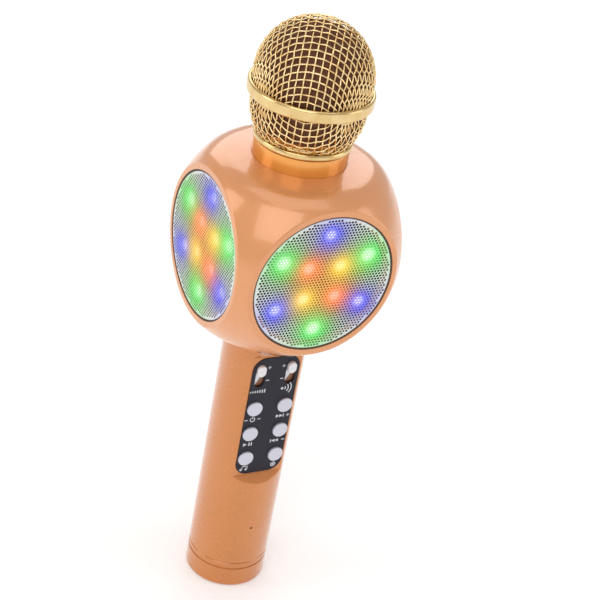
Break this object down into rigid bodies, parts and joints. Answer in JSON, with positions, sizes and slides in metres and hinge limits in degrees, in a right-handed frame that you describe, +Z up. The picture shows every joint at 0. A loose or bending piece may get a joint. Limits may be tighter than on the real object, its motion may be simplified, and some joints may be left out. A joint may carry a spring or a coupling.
{
  "type": "karaoke microphone",
  "caption": "Hand-held karaoke microphone with a wire-mesh ball, a squarish head with round lit speaker grilles, and a grip with slider and button controls.",
  "frame": {"origin": "centre of the flat base that the microphone stands on", "axes": "+Z up the grip to the mesh ball, -Y out of the front, the side with the control panel, +X to the right when the front is faced"},
  "size_m": [0.0744, 0.0744, 0.2732],
  "materials": {
    "mesh_gold": "pale gold plated wire, satin",
    "foam": "open-cell foam, dark brown",
    "collar_gold": "metallic orange gold, semi-gloss",
    "shell_gold": "glossy orange-gold paint on plastic",
    "cap_gold": "glossy orange-gold paint on plastic",
    "grille_silver": "fine perforated sheet, satin silver",
    "gasket_black": "matte",
    "diffuser": "frosted translucent",
    "board_green": "solder mask",
    "led_green": "lit green",
    "led_blue": "lit blue",
    "led_orange": "lit orange",
    "led_yellow": "lit yellow",
    "driver_steel": "black painted pressed steel",
    "cone_paper": "matte paper cone",
    "magnet": "sintered magnet",
    "rubber_black": "matte",
    "capsule_metal": "satin",
    "steel": "plated",
    "ring_black": "matte",
    "panel_dark": "glossy blue-black",
    "button_silver": "satin silver plated plastic",
    "knob_white": "white",
    "pipe_clear": "clear light pipe",
    "mat_grey": "silicone",
    "pot_black": "matte",
    "cell_blue": "shrink sleeve",
    "contact_nickel": "nickel plated",
    "port_black": "matte",
    "port_steel": "stamped steel"
  },
  "bodies": {
    "body": {"audio_jack": "port_black", "battery_cell": "cell_blue", "battery_contacts": "contact_nickel", "battery_cradle": "ring_black", "button_mat": "mat_grey", "capsule_shock_mount": "rubber_black", "card_slot": "port_steel", "charge_indicator": "pipe_clear", "control_panel": "panel_dark", "driver_cone_left": "cone_paper", "driver_cone_right": "cone_paper", "driver_frame_left": "driver_steel", "driver_frame_right": "driver_steel", "driver_magnet_left": "magnet", "driver_magnet_right": "magnet", "end_cap": "cap_gold", "grille_gasket_front": "gasket_black", "grille_gasket_left": "gasket_black", "grille_gasket_rear": "gasket_black", "grille_gasket_right": "gasket_black", "handle_lock_ring": "ring_black", "handle_tube": "shell_gold", "head_screws": "steel", "head_shell_front": "shell_gold", "head_shell_rear": "shell_gold", "leds_blue": "led_blue", "leds_green": "led_green", "leds_orange": "led_orange", "leds_yellow": "led_yellow", "light_board_front": "board_green", "light_board_left": "board_green", "light_board_rear": "board_green", "light_board_right": "board_green", "light_diffuser_front": "diffuser", "light_diffuser_left": "diffuser", "light_diffuser_rear": "diffuser", "light_diffuser_right": "diffuser", "main_board": "board_green", "mic_capsule": "capsule_metal", "micro_usb_socket": "port_steel", "neck_collar": "collar_gold", "neck_lock_ring": "ring_black", "slider_pots": "pot_black", "speaker_grille_front": "grille_silver", "speaker_grille_left": "grille_silver", "speaker_grille_rear": "grille_silver", "speaker_grille_right": "grille_silver"},
    "windscreen": {"foam_windscreen": "foam"},
    "ball": {"grille_dome": "mesh_gold", "grille_bowl": "mesh_gold", "grille_band": "mesh_gold", "grille_base_ring": "mesh_gold"},
    "button_accompaniment": {"button_accompaniment": "button_silver"},
    "button_play_pause": {"button_play_pause": "button_silver"},
    "button_power": {"button_power": "button_silver"},
    "button_record": {"button_record": "button_silver"},
    "button_previous": {"button_previous": "button_silver"},
    "button_next": {"button_next": "button_silver"},
    "slider_mic_volume": {"slider_mic_volume": "knob_white"},
    "slider_reverb": {"slider_reverb": "knob_white"}
  },
  "joints": [
    {"name": "ball_lift", "type": "slide", "parent": "body", "child": "windscreen", "axis": [0, 0, 1], "range_m": [0, 0.0061]},
    {"name": "ball_turn", "type": "hinge", "parent": "windscreen", "child": "ball", "pos_m": [0, 0, 0.24], "axis": [0, 0, 1], "range_deg": [0, 1080]},
    {"name": "press_accompaniment", "type": "slide", "parent": "body", "child": "button_accompaniment", "axis": [0, 1, 0], "range_m": [0, 0.0006], "stiffness_N_per_m": 800},
    {"name": "press_play_pause", "type": "slide", "parent": "body", "child": "button_play_pause", "axis": [0, 1, 0], "range_m": [0, 0.0006], "stiffness_N_per_m": 800},
    {"name": "press_power", "type": "slide", "parent": "body", "child": "button_power", "axis": [0, 1, 0], "range_m": [0, 0.0006], "stiffness_N_per_m": 800},
    {"name": "press_record", "type": "slide", "parent": "body", "child": "button_record", "axis": [0, 1, 0], "range_m": [0, 0.0006], "stiffness_N_per_m": 800},
    {"name": "press_previous", "type": "slide", "parent": "body", "child": "button_previous", "axis": [0, 1, 0], "range_m": [0, 0.0006], "stiffness_N_per_m": 800},
    {"name": "press_next", "type": "slide", "parent": "body", "child": "button_next", "axis": [0, 1, 0], "range_m": [0, 0.0006], "stiffness_N_per_m": 800},
    {"name": "slide_mic_volume", "type": "slide", "parent": "body", "child": "slider_mic_volume", "axis": [0, 0, 1], "range_m": [-0.0055, 0]},
    {"name": "slide_reverb", "type": "slide", "parent": "body", "child": "slider_reverb", "axis": [0, 0, 1], "range_m": [-0.0055, 0]}
  ],
  "couplings": [
    {"joint": "ball_lift", "follows": "ball_turn", "m_per_rad": 0.00031831}
  ]
}
